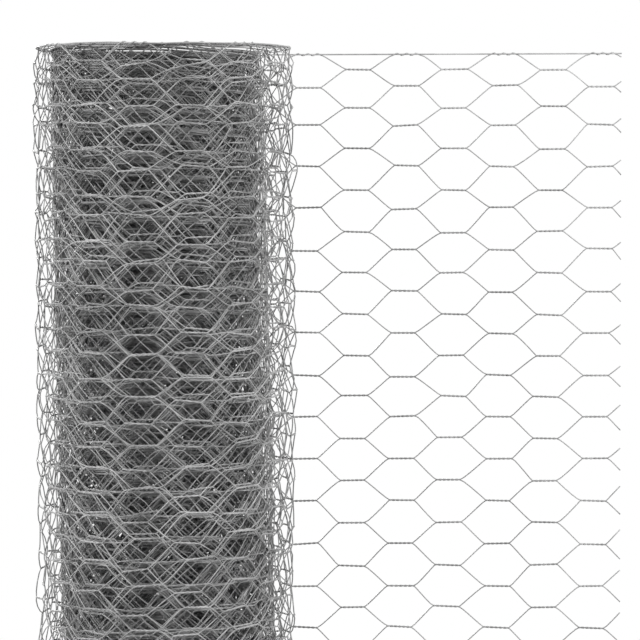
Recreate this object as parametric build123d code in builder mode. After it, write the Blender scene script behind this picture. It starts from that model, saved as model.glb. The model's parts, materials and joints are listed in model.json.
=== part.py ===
"""A roll of galvanised hexagonal wire netting, standing on its end, with its free end drawn out flat.

The wound netting is one turned body round an open bore. The free end leaves the roll along the tangent
at its back and runs straight to +X, where its wires are cut off. The origin is on the roll's axis at the
bottom edge of the netting, +Z is up and lengths are in millimetres.
"""
from build123d import *
from math import hypot
import os

# The netting
netting_width = 1000.0  # from one edge wire to the other, which is the height of the standing roll
wire = 0.9
mesh_size = 40.0  # from one twist to the next one above it
column_pitch = 46.4  # from one column of twists to the next, along the netting
twist_length = 24.4
edge_wire = 1.2  # the heavier wire along both edges
edge_dip = 16.0  # how far the outermost mesh wire swings in from the edge wire
edge_mesh = 30.0  # from the edge wire to the first twist beneath one that holds it

# The wound roll
bore_diameter = 60.0
packed_diameter = 198.0  # the tight turns
roll_diameter = 246.0  # over the slack outer turns
slack_turns = 5
packed_turns_shown = 5  # each stands for about eleven real ones, a wire or two thick
slack_gap = 3.9  # the open space between two slack turns
slack_gap_depth = 9.0
packed_gap = 2.5
packed_gap_depth = 3.0

# The free end
free_length = 430.8  # from the roll's axis to the cut wires
cut_tail = 22.0  # from the middle of the last column of twists to the cut wires

bore_radius = bore_diameter / 2
packed_radius = packed_diameter / 2
roll_radius = roll_diameter / 2


def even_radii(inner, outer, count):
    """The radii that divide the ring from inner to outer into count turns, without its two rims."""
    return [inner + (outer - inner) * turn / count for turn in range(1, count)]


def turn_gap(gap, depth):
    """The section of the open space between two turns: a notch with its mouth on the roll's end."""
    Polygon((-gap / 2, 0), (0, -depth), (gap / 2, 0), (0, depth), mode=Mode.SUBTRACT)


# The wound netting: one ring, with the gaps between its turns cut into both of its ends.
with BuildPart() as netting_roll:
    with BuildSketch(Plane.XZ) as wound_section:
        with Locations(((bore_radius + roll_radius) / 2, netting_width / 2)):
            Rectangle(roll_radius - bore_radius, netting_width)
        for radius in even_radii(bore_radius, packed_radius, packed_turns_shown):
            with Locations((radius, 0), (radius, netting_width)):
                turn_gap(packed_gap, packed_gap_depth)
        for radius in [packed_radius] + even_radii(packed_radius, roll_radius, slack_turns):
            with Locations((radius, 0), (radius, netting_width)):
                turn_gap(slack_gap, slack_gap_depth)
    revolve(axis=Axis.Z)
netting_roll.part.label = "netting_roll"


# The heights of the twists, from the bottom edge wire to the top one. Neighbouring columns of twists hold
# every other height, and the columns are counted back from the cut wires.
inner_steps = round((netting_width - 2 * edge_mesh) / (mesh_size / 2))
rise = (netting_width - 2 * edge_mesh) / inner_steps
twist_heights = [0, edge_dip]
twist_heights += [edge_mesh + rise * step for step in range(inner_steps + 1)]
twist_heights += [netting_width - edge_dip, netting_width]
top = len(twist_heights) - 1

last_column = free_length - cut_tail
column_count = int(last_column / column_pitch)
column_places = [last_column - column_pitch * column for column in range(-1, column_count + 2)]

# An opening is flat along the twists above and below it and comes to a point at the twists beside it,
# short of their ends by what leaves the slanting bars one wire wide.
half_flat = twist_length / 2
run = column_pitch - twist_length
half_point = column_pitch - half_flat - wire * (hypot(run, rise) - run) / rise
edge_step = edge_mesh - edge_dip


def cut_openings(rows, foot, head):
    """Cuts the openings whose points are at these rows, from foot below that height to head above it."""
    places = [(place, twist_heights[row]) for row in rows
              for column, place in enumerate(column_places) if (row + column + top) % 2 == 0]
    with Locations(*places):
        Polygon((-half_point, 0), (-half_flat, head), (half_flat, head),
                (half_point, 0), (half_flat, -foot), (-half_flat, -foot), align=None, mode=Mode.SUBTRACT)


def cut_edge_openings(row, side):
    """Cuts the openings between an edge wire and the mesh wire that swings in from it."""
    places = [(place, twist_heights[row]) for column, place in enumerate(column_places)
              if (row + column + top) % 2 == 0]
    with Locations(*places):
        Polygon((-half_point, side * edge_wire), (half_point, side * edge_wire),
                (half_flat, side * (edge_dip - wire)), (-half_flat, side * (edge_dip - wire)),
                align=None, mode=Mode.SUBTRACT)


# The unrolled netting: a sheet as thick as one wire, with its mesh openings cut through. That leaves bars
# of square wire, fused where they meet, and bars two wires wide where two wires are twisted together.
with BuildPart() as unrolled_end:
    with BuildSketch(Plane.XZ.offset(-roll_radius)) as mesh_section:
        with Locations((free_length / 2, netting_width / 2)):
            Rectangle(free_length, netting_width)
        cut_edge_openings(0, 1)
        cut_openings([1], edge_dip - wire - edge_wire, edge_step - wire)
        cut_openings([2], edge_step - wire, rise - wire)
        cut_openings(range(3, top - 2), rise - wire, rise - wire)
        cut_openings([top - 2], rise - wire, edge_step - wire)
        cut_openings([top - 1], edge_step - wire, edge_dip - wire - edge_wire)
        cut_edge_openings(top, -1)
    extrude(amount=-wire)
unrolled_end.part.label = "unrolled_end"

os.makedirs("parts", exist_ok=True)
export_step(netting_roll.part, "parts/netting_roll.step")
export_step(unrolled_end.part, "parts/unrolled_end.step")
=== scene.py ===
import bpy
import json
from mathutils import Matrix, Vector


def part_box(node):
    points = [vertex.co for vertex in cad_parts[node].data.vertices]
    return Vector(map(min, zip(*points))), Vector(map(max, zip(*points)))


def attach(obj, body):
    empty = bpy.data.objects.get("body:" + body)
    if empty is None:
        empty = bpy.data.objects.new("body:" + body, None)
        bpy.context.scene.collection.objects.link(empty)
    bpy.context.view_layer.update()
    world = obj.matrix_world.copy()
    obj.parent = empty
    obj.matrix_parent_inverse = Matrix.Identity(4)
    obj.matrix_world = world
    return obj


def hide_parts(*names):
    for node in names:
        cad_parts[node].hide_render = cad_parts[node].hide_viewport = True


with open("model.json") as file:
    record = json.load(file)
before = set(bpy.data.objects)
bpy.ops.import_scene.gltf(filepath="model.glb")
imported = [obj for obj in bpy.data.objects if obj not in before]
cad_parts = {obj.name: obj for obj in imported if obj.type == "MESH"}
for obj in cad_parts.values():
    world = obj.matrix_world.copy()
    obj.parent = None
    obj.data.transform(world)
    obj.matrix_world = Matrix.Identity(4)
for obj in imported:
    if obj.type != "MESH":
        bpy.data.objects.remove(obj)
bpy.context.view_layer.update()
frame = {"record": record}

import json
import math

import bpy
import numpy as np
from mathutils import Vector

MM = 0.001

# The free end: the last stretch of the netting, drawn out flat behind the roll and cut off. It is fifty-one
# thin steel wires side by side, each twisted by turns with the wire above it and the wire below it, which
# opens the sheet into hexagons. The two outermost wires are twisted round the edge wires.
end_low, end_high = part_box("unrolled_end")
netting_width = end_high.z - end_low.z
free_length = end_high.x

wire = 0.98 * MM  # 0.9 mm wire with its zinc
edge_wire = 1.2 * MM
column_pitch = 46.4 * MM  # from one column of twists to the next
cut_tail = 22.0 * MM  # from the last column of twists to the cut wires
half_twist = 12.4 * MM
edge_half_twist = 13.7 * MM
edge_dip = 15.0 * MM  # how far the outermost wires swing in from the edge wires
edge_mesh = 30.5 * MM  # from an edge wire to the first twist that is two rows in
mesh_step = 19.85 * MM  # half the mesh, from one row of twists to the one beside it
wrap_gap = 0.15 * MM
edge_room = edge_wire / 2 + wire + wrap_gap  # the outermost wires wrap round the edge wires
top_edge = netting_width - edge_room
foot = top_edge - edge_room  # how far the bottom edge wire lies below the top one


def between(marks, place):
    """The value at a place between marks, each of which is a pair of a place and the value there."""
    return np.interp(place, *zip(*marks))


def smooth(share):
    """A share from 0 to 1 that starts and ends gently."""
    return share ** 2 * (3 - 2 * share)


def row_depths():
    """How far each row of twists lies below the top edge wire. A row keeps its depth all along."""
    inner = np.arange(round((netting_width - 2 * edge_mesh) / mesh_step) + 1)
    # The mesh is drawn out a little further from the eighteenth row to the twenty-fourth, and near the top
    # every other row hangs low.
    drift = -1.2 + 3.0 * smooth(between([(18, 0), (24, 1)], inner))
    stagger = 1.7 * np.exp(-(inner / 13) ** 2) * np.where(inner % 2, 1, -1)
    drawn = edge_mesh + inner * mesh_step + (drift + stagger) * MM * np.minimum(inner, 1)
    drawn += (foot - edge_mesh - drawn[-1]) * (inner / inner[-1]) ** 2
    return np.concatenate([[0, edge_dip], drawn, [foot - edge_dip, foot]])


depths = row_depths()
last_row = len(depths) - 1
wire_count = last_row

# The line that the netting follows, seen from above: straight along the free end, then round and inwards,
# through the slack outer turns to the tight ones that fill the roll down to its bore. Its marks are turns of
# the roll, counted inwards from where the free end leaves it.
bore_radius = frame["record"]["mounts"][0]["dims"]["r_mm"] * MM
ripple_room = 1.0 * MM  # how far the free end may ripple out of its plane
sheet_y = end_high.y - wire - ripple_room
slack_to = 4.5  # the turns lie slack up to this one
packed_from = 8.0  # and tight from this one
core_from = 24  # where they begin to lie further apart again, out of sight
turn_spacing = [  # in millimetres from one turn to the next
    (0, 4.5), (0.5, 2.5), (1, 1.6), (2, 2.6), (3, 4.4), (4, 4.6), (5, 3.6), (6, 2.6), (7, 1.7),
    (packed_from, 0.75), (core_from, 0.75), (core_from + 4, 2.0)]
most_turns = 80  # more than the roll can hold
turn_step = 0.002
winding = np.arange(0, most_turns, turn_step)
tightness = smooth(np.clip((winding - slack_to) / (packed_from - slack_to), 0, 1))
radii = sheet_y - np.cumsum(between(turn_spacing, winding)) * MM * turn_step
inside = radii > bore_radius + wire
winding, radii, tightness = winding[inside], radii[inside], tightness[inside]

# The columns of the slack turns stand further apart than those of the free end. The outer turns have nested
# as they were wound: a turn with an odd number of columns puts its twists between those of the turn below.
wound_pitch = between([(0, 50.0), (2, 49.5), (4, 48.0), (6, 46.9), (packed_from, 46.2)], winding) * MM
nesting = between([(10, 0.3), (16, 0)], winding)
odd_columns = 13.02
columns_a_turn = 2 * math.pi * radii / wound_pitch
columns_a_turn -= nesting * np.sin(math.pi * (columns_a_turn - odd_columns))
wound_length = np.cumsum(columns_a_turn * column_pitch * turn_step)
column_total = int((free_length + wound_length[-1] - cut_tail) / column_pitch) + 1
column_at = cut_tail + column_pitch * np.arange(-1, column_total)


def turn_at(along):
    """How many turns of the roll lie outside this point of the netting, measured from its cut end."""
    return np.interp(along - free_length, wound_length, winding, left=0)


def wound_share(turn):
    """0 on the free end and 1 from a third of a turn on, so that the roll's unevenness sets in by degrees."""
    return np.clip(turn * 3, 0, 1)


# Each twist has its own small errors of place and tilt, larger in the slack turns. Column 0 of the grid
# lies past the cut, and only the twists with an odd column plus row are real.
chance = np.random.default_rng(40)
shape = (len(column_at), last_row + 1)
grid_turn = turn_at(column_at)[:, None]
loose = wound_share(grid_turn) * (1 - 0.8 * np.interp(grid_turn, winding, tightness))


def errors(typical, slack_growth=0):
    """A random error for each twist of the grid, of this typical size, and that much more in slack turns."""
    return chance.normal(0, typical, shape) * (1 + slack_growth * loose)


twist_along = column_at[:, None] + errors(0.7 * MM, 1)
# The columns near the cut end slant, by two parts in a hundred at the most, down to a height of 0.44 m.
slant_to, upright_at = 560 * MM, 190 * MM
column_slant = between([(0, 0.019), (9, 0.006), (14, 0)], np.arange(shape[0]))[:, None]
twist_along += column_slant * (np.minimum(depths, slant_to) - upright_at)[None, :]
twist_depth = depths[None, :] + errors(0.55 * MM, 1.6)
twist_out = errors(0.25 * MM, 2)
twist_tilt = errors(0.022, 2)
twist_lean = errors(0.02, 2)
twist_half = half_twist * (1 + errors(0.03))
bow_down = errors(0.5 * MM, 1)
bow_out = errors(0.4 * MM, 1.5)
for edge in (0, last_row):
    twist_depth[:, edge] = depths[edge]
    twist_tilt[:, edge] = 0
    twist_lean[:, edge] = 0
    twist_out[:, edge] *= 0.4
    twist_half[:, edge] = edge_half_twist


def soft_noise(places, size, seed):
    """Smooth uneven waves, mostly within one either way, with lumps of about this size. It is the sum of
    seven plain waves of uneven length, phase and direction."""
    draw = np.random.default_rng(seed)
    total = 0
    for _ in range(7):
        way = draw.normal(size=len(places))
        way /= np.linalg.norm(way)
        pitch = size * draw.uniform(1.2, 3.2)
        phase = draw.uniform(0, 2 * math.pi)
        total = total + np.sin(sum(w * place for w, place in zip(way, places)) * 2 * math.pi / pitch + phase)
    return total / 3.2


def sunk(turn, angle, tight, wound, rim):
    """How far the top edge of a turn lies below the free end's, in millimetres: the inner turns have sunk
    between the outer ones, most of all on the free end's side, and each turn's edge has waves of its own."""
    slack_turns = 0.25 * np.minimum(turn, packed_from)
    packed_turns = 15 * (1 - np.exp(-np.maximum(turn - packed_from, 0) / 14))
    near_side = 4 * tight * np.maximum(np.cos(angle), 0)
    waves = (0.7 + soft_noise(rim, size=70 * MM, seed=6)).clip(0)
    wave_height = between([(0, 0.5), (3, 1.2)], turn)
    return (slack_turns + packed_turns + near_side) * np.clip(turn, 0, 1) + wave_height * waves * wound


def place_on_line(along, down, out):
    """Points in space, and which way is outwards there, for points of the sheet: metres from the cut end
    along the netting, down from the top edge wire, and out from the roll."""
    turn = turn_at(along)
    wound = wound_share(turn)
    tight = np.interp(turn, winding, tightness) * wound
    deep_from, deep_to = 14, 20
    deep = between([(deep_from, 0), (deep_to, 1)], turn)
    angle = (turn + 0.25) * 2 * math.pi
    # The noise goes round the roll with the netting, and changes from turn to turn with the layer.
    around = 0.1 * np.cos(angle), 0.1 * np.sin(angle)
    layer = 0.35 * np.minimum(turn, packed_from) + 0.03 * turn + 0.12 * np.maximum(turn - deep_from, 0)
    rim = *around, 3 * layer
    # The mesh is drawn out unevenly as it is wound, so that the rows of one turn miss those of the next. The
    # edge wires hold it near them, and at half height the rows of the roll lie 17 mm lower.
    edge_hold = 60 * MM
    free = np.clip(np.minimum(down, foot - down) / edge_hold, 0, 1) * wound
    stray_along = (3.5 + 3.5 * (1 - tight) + 4 * deep) * MM
    stray_down = (3.4 + 5 * deep) * MM
    along = along + free * stray_along * soft_noise((*around, down, layer), size=200 * MM, seed=8)
    down = down + free * stray_down * soft_noise((*around, down, layer), size=240 * MM, seed=7)
    down = down + between([(0, 0), (0.5, 17), (1, 0)], down / foot) * MM * wound
    turn = np.where(turn > 0, turn_at(along), 0)
    angle = (turn + 0.25) * 2 * math.pi
    level = np.clip(down / foot, 0, 1)
    # The turns bulge here and there, the slack ones are slimmer at half height, and all are pinched at
    # the rim. The tight turns lean a little.
    bulge = 1.1 * MM * soft_noise((*around, down, layer), size=130 * MM, seed=5) * (1 - 0.6 * tight)
    waist = 2.5 * MM * np.sin(math.pi * level) ** 2 * wound * (1 - tight)
    pinch = (2.2 + 1.6 * soft_noise(rim, size=120 * MM, seed=9)) * MM * np.exp(-down / (16 * MM))
    inset = 0.6 * MM
    radius = np.interp(turn, winding, radii) + (bulge - inset - pinch) * wound - waist
    radius = np.minimum(radius + out, sheet_y)
    lean = between([(0, -7.0), (0.55, 3.2), (1, 0)], down / foot) * MM * tight + waist
    # The free end ripples out of its plane, and its top edge hangs a little lower where it meets the roll.
    ripple = out + 0.3 * MM * soft_noise((along, down), size=200 * MM, seed=4)
    droop = between([(0, 0), (free_length, 1.6)], along) * MM * np.exp(-down / edge_hold) * (1 - wound)
    flat = turn <= 0
    x = np.where(flat, free_length - along, radius * np.cos(angle) + lean)
    y = np.where(flat, sheet_y + ripple.clip(-ripple_room, ripple_room), radius * np.sin(angle))
    # The rows of the roll slope towards the free end: a little down near the top, and up further below.
    slope = between([(0, 0), (0.1, -0.012), (0.3, 0.02), (0.56, 0.05), (1, 0)], down / foot) * wound
    height = top_edge - down - sunk(turn, angle, tight, wound, rim) * MM * (1 - level) - droop + slope * x
    outward = np.stack([np.where(flat, 0, np.cos(angle)), np.where(flat, 1, np.sin(angle)), 0 * x], -1)
    return np.stack([x, y, height], -1), outward


def wire_run(number, first, last, twist_steps, bend_steps):
    """One mesh wire from the middle of column first to the middle of column last, as points on the sheet:
    along, down and out. It winds round its neighbour over each twist and slants across in between."""
    # Each half of a twist holds a turn and a half, or one turn where fewer steps draw it. Drawn as one
    # straight step, its two wires lie closer together.
    twist_turns = 3 if twist_steps == 8 else 2
    apart = 0.6 if twist_steps == 1 else 1

    def half(column, share):
        row = number + (column + number + 1) % 2
        side = 1 if row == number else -1
        radius = (edge_wire + wire) / 2 if row in (0, last_row) else wire / 2
        radius *= side * apart
        reach = (share - 0.5) * 2 * twist_half[column, row]
        turned = 2 * math.pi * twist_turns * share
        return twist_tilt[column, row], np.stack([
            twist_along[column, row] + reach,
            twist_depth[column, row] + reach * twist_tilt[column, row] + radius * np.cos(turned),
            twist_out[column, row] + reach * twist_lean[column, row] + radius * np.sin(turned)], -1)

    share = np.linspace(0.5, 1, twist_steps + 1)
    part = np.linspace(0, 1, bend_steps + 1)[1:-1, None]
    pull = 1.5 * MM  # how far a wire keeps its way past the end of a twist
    sheet = []
    for column in range(first, last):
        leave_tilt, leave = half(column, share)
        enter_tilt, enter = half(column + 1, share - 0.5)
        start, end = leave[-1], enter[0]
        first_handle = start + pull * np.array([1, leave_tilt, 0])
        last_handle = end - pull * np.array([1, enter_tilt, 0])
        bow = np.array([0, bow_down[column, number], bow_out[column, number]])
        slant = ((1 - part) ** 3 * start + 3 * (1 - part) ** 2 * part * first_handle
                 + 3 * (1 - part) * part ** 2 * last_handle + part ** 3 * end
                 + np.sin(math.pi * part) * bow)
        if twist_steps == 1 and column > first:
            leave = leave[1:]
        sheet += [leave, slant, enter[:-1]]
    return np.concatenate(sheet + [enter[-1:]])


def cut_off(run):
    """The run without what lies past the cut end of the netting."""
    cut = 0.66 * MM  # so that the tilted end of a slanting wire stays within the netting's length
    kept = np.argmax(run[:, 0] > cut)
    before, after = run[kept - 1], run[kept]
    on_cut = before + (after - before) * (cut - before[0]) / (after[0] - before[0])
    return np.concatenate([[on_cut], run[kept:]])


def tube_uvs(lengths, ends, sides):
    """The UV map of a mesh of tubes: a cell for each short length of tube, and then one for each tube end.
    Each keeps a margin in its cell, given as a share of it."""
    margin, end_margin = 0.05, 0.1
    cells_across = math.ceil(math.sqrt(lengths / 2))
    cell_size = np.array([1 / cells_across, 1 / math.ceil((lengths + ends) / cells_across)])
    cells = np.arange(lengths + ends)
    corners = np.stack([cells % cells_across, cells // cells_across], -1)[:, None, None, :]
    side = np.arange(sides)[:, None] / sides
    wall = np.stack([np.array([[0, 0, 1, 1]]) + 0 * side, side + np.array([[0, 1, 1, 0]]) / sides], -1)
    turned = np.arange(sides) * 2 * math.pi / sides
    end = np.stack([np.cos(turned), np.sin(turned)], -1) * (0.5 - end_margin) + 0.5
    walls = (corners[:lengths] + margin + (1 - 2 * margin) * wall) * cell_size
    caps = (corners[lengths:, :, 0] + end) * cell_size
    return np.concatenate([walls.ravel(), caps.ravel()])


def tube_mesh(name, runs, thick, sides):
    """One mesh of closed tubes with this many sides, one for each run of points on the sheet."""
    fill = math.pi / (sides * math.sin(math.pi / sides))  # so that few sides cover as much as a round wire
    turned = np.arange(sides) * 2 * math.pi / sides
    here = np.arange(sides)[None, :]
    there = (here + 1) % sides
    corners, walls, caps, base = [], [], [], 0
    for run in runs:
        points, outward = place_on_line(run[:, 0], run[:, 1], run[:, 2])
        ahead = np.gradient(points, axis=0)
        ahead /= np.linalg.norm(ahead, axis=1, keepdims=True)
        across = np.cross(ahead, outward)
        across /= np.linalg.norm(across, axis=1, keepdims=True)
        outward = np.cross(across, ahead)
        ring = (np.cos(turned)[None, :, None] * outward[:, None, :]
                + np.sin(turned)[None, :, None] * across[:, None, :]) * thick / 2 * fill
        corners.append((points[:, None, :] + ring).reshape(-1, 3))
        steps = np.arange(len(points) - 1)[:, None] * sides
        quads = np.stack([steps + here, steps + there, steps + sides + there, steps + sides + here], -1)
        walls.append(quads.reshape(-1, 4) + base)
        caps.append(base + here[0, ::-1])
        caps.append(base + (len(points) - 1) * sides + here[0])
        base += len(points) * sides
    corners, walls = np.concatenate(corners), np.concatenate(walls)
    loops = np.concatenate([walls.ravel(), np.concatenate(caps)])
    starts = np.concatenate([np.arange(len(walls)) * 4, walls.size + np.arange(len(caps)) * sides])
    mesh = bpy.data.meshes.new(name)
    mesh.vertices.add(len(corners))
    mesh.vertices.foreach_set("co", corners.ravel())
    mesh.loops.add(len(loops))
    mesh.loops.foreach_set("vertex_index", loops)
    mesh.polygons.add(len(starts))
    mesh.polygons.foreach_set("loop_start", starts)
    mesh.polygons.foreach_set("use_smooth", np.arange(len(starts)) < len(walls))
    mesh.update(calc_edges=True)
    mesh.uv_layers.new(name="OFBake").data.foreach_set("uv", tube_uvs(len(walls) // sides, len(caps), sides))
    mesh.validate()
    piece = bpy.data.objects.new(name, mesh)
    bpy.context.collection.objects.link(piece)
    return piece


def linear(hex_colour):
    """An sRGB hex colour as the linear colour that the shader takes."""
    parts = [int(hex_colour[i:i + 2], 16) / 255 for i in (0, 2, 4)]
    return [p / 12.92 if p <= 0.04045 else ((p + 0.055) / 1.055) ** 2.4 for p in parts] + [1]


def add_node(tree, kind, inputs, **settings):
    """A node with its settings. An input is a value, or else the output that feeds it."""
    node = tree.nodes.new(kind)
    for name, value in settings.items():
        setattr(node, name, value)
    for name, value in inputs.items():
        if isinstance(value, bpy.types.NodeSocket):
            tree.links.new(value, node.inputs[name])
        else:
            node.inputs[name].default_value = value
    return node


# Hot-dip galvanised steel wire: the netting goes through molten zinc after it is woven. The zinc freezes
# in dull grey grains, some paler than others, runs a little thicker in places and weathers unevenly, so the
# wire is matt with faint pale and dark lengths and no bright highlight.
galvanised = bpy.data.materials.new("hot_dip_galvanised_steel")
galvanised.use_nodes = True
tree = galvanised.node_tree
shader = tree.nodes["Principled BSDF"]
shader.inputs["Metallic"].default_value = 0.1  # dull zinc hardly mirrors
place = add_node(tree, "ShaderNodeTexCoord", {}).outputs["Object"]
# The zinc grains are about 3 mm long on wire, drawn here at 9 mm so that they show.
grain_length = 9 * MM
grains = add_node(tree, "ShaderNodeTexNoise", {"Vector": place, "Scale": 1 / grain_length, "Detail": 3})
# Lengths of wire that dried or weathered alike are a few centimetres long.
weathered_length = 60 * MM
weather = add_node(tree, "ShaderNodeTexNoise", {"Vector": place, "Scale": 1 / weathered_length, "Detail": 2})
both = add_node(tree, "ShaderNodeMath", {0: grains.outputs["Fac"],
                                         1: weather.outputs["Fac"]}, operation="ADD")
mean = add_node(tree, "ShaderNodeMath", {0: both.outputs[0], 1: 0.5}, operation="MULTIPLY")
zinc = add_node(tree, "ShaderNodeValToRGB", {"Fac": mean.outputs[0]})
dark_zinc, pale_zinc = zinc.color_ramp.elements
dark_zinc.position, dark_zinc.color = 0.36, linear("767676")
pale_zinc.position, pale_zinc.color = 0.64, linear("a2a2a2")
tree.links.new(zinc.outputs["Color"], shader.inputs["Base Color"])
dullness = add_node(tree, "ShaderNodeMapRange", {"Value": grains.outputs["Fac"], "From Min": 0.35,
                                                 "From Max": 0.65, "To Min": 0.42, "To Max": 0.6})
tree.links.new(dullness.outputs["Result"], shader.inputs["Roughness"])
# The zinc lies up to 0.03 mm thicker in its runs and grain edges, which are about 2.5 mm apart.
run_length, run_height = 2.5 * MM, 0.03 * MM
zinc_runs = add_node(tree, "ShaderNodeTexNoise", {"Vector": place, "Scale": 1 / run_length, "Detail": 4})
relief = add_node(tree, "ShaderNodeBump", {"Height": zinc_runs.outputs["Fac"], "Distance": run_height,
                                           "Strength": 0.6})
tree.links.new(relief.outputs["Normal"], shader.inputs["Normal"])


def finish(piece, node):
    """Gives a piece of the netting its zinc, hangs it on the root body, and hides the imported part it stands
    for.
    """
    piece.data.materials.append(galvanised)
    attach(piece, "root")
    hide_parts(node)


def lay_netting(name, node, first, last, thick, twist_steps, bend_steps, sides):
    """The mesh wires between two columns of twists, as one piece."""
    runs = [wire_run(number, first, last, twist_steps, bend_steps) for number in range(wire_count)]
    if first == 0:
        runs = [cut_off(run) for run in runs]
    finish(tube_mesh(name, runs, thick, sides), node)


roll_column = 10  # the first column of twists on the roll
free_wire = 1.1 * MM  # drawn thicker, because thin wires over white render paler than they photograph
lay_netting("unrolled_netting", "unrolled_end", 0, roll_column, free_wire,
            twist_steps=8, bend_steps=5, sides=5)

# The outer turn: the netting's first turn round the roll, of the same galvanised wires. Nothing ties it, so
# it lies slack over the turns beneath and shows each of its twists.
slack_column = 27
outer_wire = 1.02 * MM
lay_netting("outer_turn", "netting_roll", roll_column, slack_column, outer_wire,
            twist_steps=8, bend_steps=4, sides=4)

# The slack turns: about seven turns of the same galvanised netting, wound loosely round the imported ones.
# Light shows between them at the roll's sides, and their wires cross where one turn lies over another.
inner_column, last_column, packed_column = 58, 87, 128
lay_netting("slack_turns_outer", "netting_roll", slack_column, inner_column, wire,
            twist_steps=4, bend_steps=3, sides=4)
lay_netting("slack_turns_inner", "netting_roll", inner_column, last_column, wire,
            twist_steps=4, bend_steps=3, sides=3)
lay_netting("slack_turns_last", "netting_roll", last_column, packed_column, wire,
            twist_steps=3, bend_steps=2, sides=3)

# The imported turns: some forty-five turns of the same netting, wound tight round an open bore. They show
# only through the others, so their twists are drawn straight, and their inner wires thicker, which makes
# the roll as hard to see through as the real one.
packed_columns = [packed_column, 190, 251, 351, 455, column_total]  # where each piece begins and ends
packed_wires = [wire, wire, 1.3 * MM, 1.4 * MM, 1.5 * MM]
for number, packed_wire in enumerate(packed_wires):
    lay_netting(f"packed_turns_{number + 1}", "netting_roll", packed_columns[number],
                packed_columns[number + 1], packed_wire,
                twist_steps=1, bend_steps=2 if number == 0 else 1, sides=3)


# The edge wires: one heavier galvanised steel wire along each edge of the netting, which keeps it from
# unravelling. It is woven in: the outermost mesh wire is twisted round it at every second column.
def edge_run(row, start, end, step):
    """An edge wire from start to end, in metres from the cut end, with a point at about every step."""
    along = np.linspace(start, end, round((end - start) / step) + 1)
    out = np.interp(along, column_at, twist_out[:, row])
    return np.stack([along, np.full(len(along), depths[row]), out], -1)


def lay_edge_wires(name, node, start, end, step, thick, sides):
    """The top and the bottom edge wire from start to end, as one piece."""
    finish(tube_mesh(name, [edge_run(row, start, end, step) for row in (0, last_row)], thick, sides), node)


cut_short = 0.3 * MM  # for the tilted end of the top wire
free_step, roll_step = 16 * MM, 12 * MM
free_edge_wire = 1.45 * MM  # drawn thicker, as the free end's mesh wires are
roll_from = column_at[roll_column]
last_from = column_at[last_column]
lay_edge_wires("edge_wires_unrolled", "unrolled_end", cut_short, roll_from, free_step, free_edge_wire, 6)
lay_edge_wires("edge_wires_slack", "netting_roll", roll_from, last_from, roll_step, edge_wire, 5)
lay_edge_wires("edge_wires_packed", "netting_roll", last_from, column_at[-1], roll_step, edge_wire, 3)

# The floor: a plain pale studio floor with a matt coat of paint, level with the netting's bottom edge. It
# takes the roll's shadow. In sight it is nearly white, so that its edges don't show against the background.
floor_left, floor_right, floor_half = -1.2, 1.4, 1.2
floor_corners = [(floor_left, -floor_half, 0), (floor_right, -floor_half, 0),
                 (floor_right, floor_half, 0), (floor_left, floor_half, 0)]
floor_mesh = bpy.data.meshes.new("floor")
floor_mesh.from_pydata(floor_corners, [], [(0, 1, 2, 3)])
floor = bpy.data.objects.new("floor", floor_mesh)
bpy.context.collection.objects.link(floor)
floor_paint = bpy.data.materials.new("floor_paint")
floor_paint.use_nodes = True
tree = floor_paint.node_tree


def sight_rays(tree):
    """1 for the rays that show the background, straight, mirrored or through glass, and 0 for its light."""
    path = add_node(tree, "ShaderNodeLightPath", {})
    mirrored = add_node(tree, "ShaderNodeMath", {0: path.outputs["Is Glossy Ray"],
                                                 1: path.outputs["Is Transmission Ray"]}, operation="ADD")
    return add_node(tree, "ShaderNodeMath", {0: path.outputs["Is Camera Ray"], 1: mirrored.outputs[0]},
                    operation="ADD", use_clamp=True).outputs[0]


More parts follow.
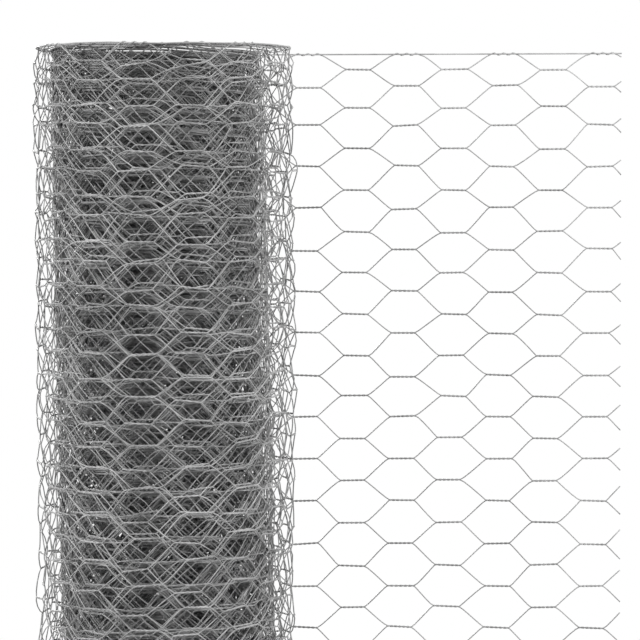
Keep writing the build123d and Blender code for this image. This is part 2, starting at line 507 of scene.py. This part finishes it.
floor_colour = add_node(tree, "ShaderNodeMix", {"Factor": sight_rays(tree)}, data_type="RGBA")
lamp_side, sight_side = floor_colour.inputs[6], floor_colour.inputs[7]  # its two colours
lamp_side.default_value = linear("cccccc")
sight_side.default_value = linear("f4f4f4")
tree.links.new(floor_colour.outputs[2], tree.nodes["Principled BSDF"].inputs["Base Color"])
floor_mesh.materials.append(floor_paint)

# The light: a white studio that lights the roll only faintly, and three square softboxes. Two alike stand
# high at the front, one on each side, and a weaker one behind the roll.
white = (1, 1, 1, 1)
faint, full_white = 0.05, 1.0
world = bpy.data.worlds.new("studio")
bpy.context.scene.world = world
world.use_nodes = True
tree = world.node_tree
lit = tree.nodes["Background"]
lit.inputs["Color"].default_value = white
lit.inputs["Strength"].default_value = faint
seen = add_node(tree, "ShaderNodeBackground", {"Color": white, "Strength": full_white})
backdrop = add_node(tree, "ShaderNodeMixShader", {0: sight_rays(tree), 1: lit.outputs[0],
                                                  2: seen.outputs[0]})
tree.links.new(backdrop.outputs[0], tree.nodes["World Output"].inputs["Surface"])


def softbox(name, place, aim, power):
    """A square lamp, a metre wide, that stands at place and points at aim."""
    light = bpy.data.lights.new(name, "AREA")
    light.shape = "SQUARE"
    light.size = 1.0
    light.energy = power
    lamp = bpy.data.objects.new(name, light)
    lamp.location = place
    lamp.rotation_euler = (Vector(aim) - Vector(place)).to_track_quat("-Z", "Y").to_euler()
    bpy.context.collection.objects.link(lamp)


front_power, back_power = 104, 40
softbox("key", place=(-2.05, -1.15, 2.1), aim=(0, 0, 0.64), power=front_power)
softbox("fill", place=(2.05, -1.15, 2.1), aim=(0, 0, 0.64), power=front_power)
softbox("back", place=(-1.2, 2.4, 1.6), aim=(0, 0, 0.6), power=back_power)

# The camera: it stands three metres away in front of the roll, level with its upper part, and looks down
# on it by less than two degrees. Its long lens takes in the upper half of the roll and the free end.
camera_data = bpy.data.cameras.new("camera")
camera = bpy.data.objects.new("camera", camera_data)
bpy.context.collection.objects.link(camera)
bpy.context.scene.camera = camera
camera_data.sensor_width = 36
camera_data.lens = 197.9
camera_data.clip_end = 50
looks_down = 1.822  # degrees
camera.location = (0.143, -3.237, 0.851)
camera.rotation_euler = (math.radians(90 - looks_down), 0, 0)

bpy.context.scene.view_settings.view_transform = "Standard"
